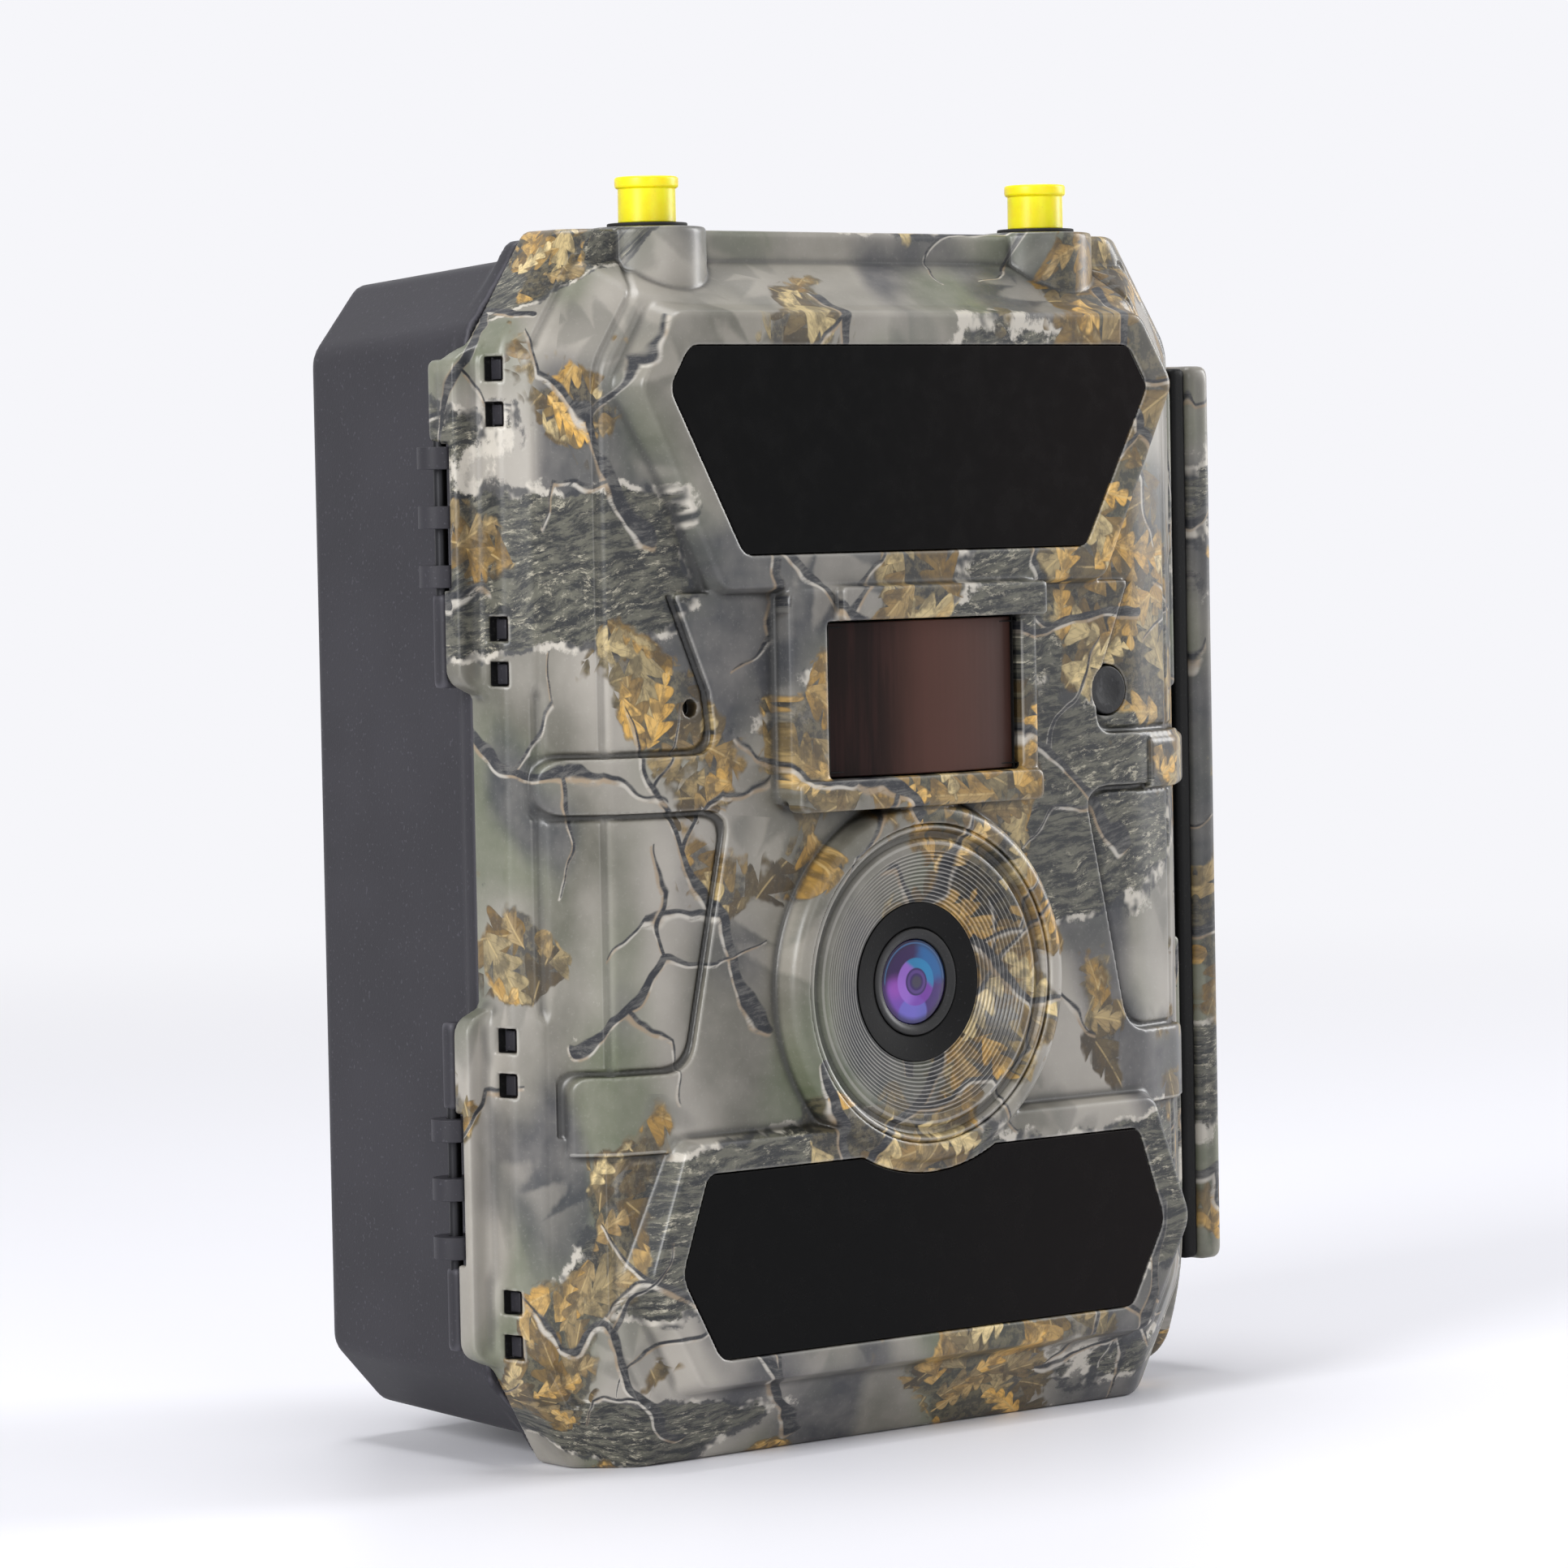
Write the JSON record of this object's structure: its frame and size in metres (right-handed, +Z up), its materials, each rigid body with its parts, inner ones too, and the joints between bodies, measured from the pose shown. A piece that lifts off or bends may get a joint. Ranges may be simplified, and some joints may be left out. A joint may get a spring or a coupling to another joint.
{
  "type": "wildlife camera",
  "caption": "Hinged weatherproof wildlife camera with infrared windows, a motion sensor, a stepped lens ring, antenna sockets with dust caps, a side latch and a strap bracket.",
  "frame": {"origin": "centre of the tripod socket's mouth, in the middle of the boss under the rear half", "axes": "+X to the right as seen from the front, -Y out of the front through the lens, +Z up"},
  "size_m": [0.1243, 0.0684, 0.1529],
  "materials": {
    "camouflage_plastic": "satin print on moulded plastic",
    "dark_plastic": "fine matte texture",
    "black_window": "gloss, opaque to visible light",
    "motion_lens": "translucent ribbed",
    "black_plastic": "matt black",
    "trim_plastic": "satin",
    "coated_glass": "coated",
    "filter_glass": "polished",
    "clear_plastic": "clear",
    "circuit_board": "solder mask",
    "display_panel": "gloss",
    "rubber_seal": "matt",
    "key_rubber": "matt",
    "bright_steel": "plated",
    "gilt_brass": "plated",
    "yellow_plastic": "soft gloss",
    "switch_plastic": "matt",
    "card_plastic": "satin",
    "cell_sleeve": "plastic sleeve over steel"
  },
  "bodies": {
    "rear_case": {"rear_shell": "dark_plastic", "tripod_insert": "gilt_brass", "battery_tray": "dark_plastic", "tray_screws": "bright_steel", "battery_cells": "cell_sleeve", "battery_contacts": "bright_steel", "battery_springs": "bright_steel", "dc_inlet": "black_plastic", "strap_bracket": "dark_plastic", "bracket_screws": "bright_steel", "hinge_pins": "bright_steel", "latch_pin": "bright_steel"},
    "front_case": {"front_shell": "camouflage_plastic", "front_frame": "dark_plastic", "frame_clips": "dark_plastic", "case_gasket": "rubber_seal", "inner_panel": "dark_plastic", "panel_screws": "bright_steel", "upper_window": "black_window", "lower_window": "black_window", "upper_led_board": "circuit_board", "upper_leds": "clear_plastic", "lower_led_board": "circuit_board", "lower_leds": "clear_plastic", "pir_lens": "motion_lens", "pir_sensor": "bright_steel", "lens_disc": "black_plastic", "lens_trim_ring": "trim_plastic", "lens_glass": "coated_glass", "lens_barrel": "black_plastic", "lens_mount": "dark_plastic", "sensor_board": "circuit_board", "microphone": "bright_steel", "main_board": "circuit_board", "display": "display_panel", "display_cover": "clear_plastic", "power_switch": "bright_steel", "card_sockets": "bright_steel", "speaker": "dark_plastic", "antenna_sockets": "gilt_brass", "socket_washers": "rubber_seal"},
    "side_latch": {"latch_lever": "camouflage_plastic", "latch_liner": "dark_plastic"},
    "front_button": {"front_button": "rubber_seal"},
    "power_slider": {"power_slider": "switch_plastic"},
    "memory_card": {"memory_card": "card_plastic"},
    "sim_card": {"sim_card": "card_plastic"},
    "dust_cap_left": {"dust_cap_left": "yellow_plastic"},
    "dust_cap_right": {"dust_cap_right": "yellow_plastic"},
    "ir_cut_filter": {"ir_cut_filter": "filter_glass"},
    "dc_plug": {"dc_plug": "rubber_seal"},
    "key_up": {"key_up": "key_rubber"},
    "key_down": {"key_down": "key_rubber"},
    "key_left": {"key_left": "key_rubber"},
    "key_right": {"key_right": "key_rubber"},
    "key_ok": {"key_ok": "key_rubber"},
    "key_menu": {"key_menu": "key_rubber"}
  },
  "joints": [
    {"name": "case_hinge", "type": "hinge", "parent": "rear_case", "child": "front_case", "pos_m": [-0.0564, -0.0162, 0.073], "axis": [0, 0, -1], "range_deg": [0, 120]},
    {"name": "latch_hinge", "type": "hinge", "parent": "rear_case", "child": "side_latch", "pos_m": [0.0617, -0.006, 0.073], "axis": [0, 0, 1], "range_deg": [0, 90]},
    {"name": "front_button_press", "type": "slide", "parent": "front_case", "child": "front_button", "axis": [0, 1, 0], "range_m": [0, 0.0005], "stiffness_N_per_m": 600, "springref_m": -0.0005},
    {"name": "power_slide", "type": "slide", "parent": "front_case", "child": "power_slider", "axis": [1, 0, 0], "range_m": [0, 0.0092]},
    {"name": "memory_card_slide", "type": "slide", "parent": "front_case", "child": "memory_card", "axis": [1, 0, 0], "range_m": [0, 0.0045]},
    {"name": "sim_card_slide", "type": "slide", "parent": "front_case", "child": "sim_card", "axis": [-1, 0, 0], "range_m": [0, 0.004]},
    {"name": "dust_cap_left_pull", "type": "slide", "parent": "front_case", "child": "dust_cap_left", "axis": [0, 0, 1], "range_m": [0, 0.02]},
    {"name": "dust_cap_right_pull", "type": "slide", "parent": "front_case", "child": "dust_cap_right", "axis": [0, 0, 1], "range_m": [0, 0.02]},
    {"name": "ir_filter_shift", "type": "slide", "parent": "front_case", "child": "ir_cut_filter", "axis": [1, 0, 0], "range_m": [0, 0.005]},
    {"name": "dc_plug_pull", "type": "slide", "parent": "rear_case", "child": "dc_plug", "axis": [1, 0, 0], "range_m": [0, 0.008]},
    {"name": "key_up_press", "type": "slide", "parent": "front_case", "child": "key_up", "axis": [0, -1, 0], "range_m": [0, 0.0005], "stiffness_N_per_m": 300, "springref_m": -0.0005},
    {"name": "key_down_press", "type": "slide", "parent": "front_case", "child": "key_down", "axis": [0, -1, 0], "range_m": [0, 0.0005], "stiffness_N_per_m": 300, "springref_m": -0.0005},
    {"name": "key_left_press", "type": "slide", "parent": "front_case", "child": "key_left", "axis": [0, -1, 0], "range_m": [0, 0.0005], "stiffness_N_per_m": 300, "springref_m": -0.0005},
    {"name": "key_right_press", "type": "slide", "parent": "front_case", "child": "key_right", "axis": [0, -1, 0], "range_m": [0, 0.0005], "stiffness_N_per_m": 300, "springref_m": -0.0005},
    {"name": "key_ok_press", "type": "slide", "parent": "front_case", "child": "key_ok", "axis": [0, -1, 0], "range_m": [0, 0.0005], "stiffness_N_per_m": 300, "springref_m": -0.0005},
    {"name": "key_menu_press", "type": "slide", "parent": "front_case", "child": "key_menu", "axis": [0, -1, 0], "range_m": [0, 0.0005], "stiffness_N_per_m": 300, "springref_m": -0.0005}
  ]
}
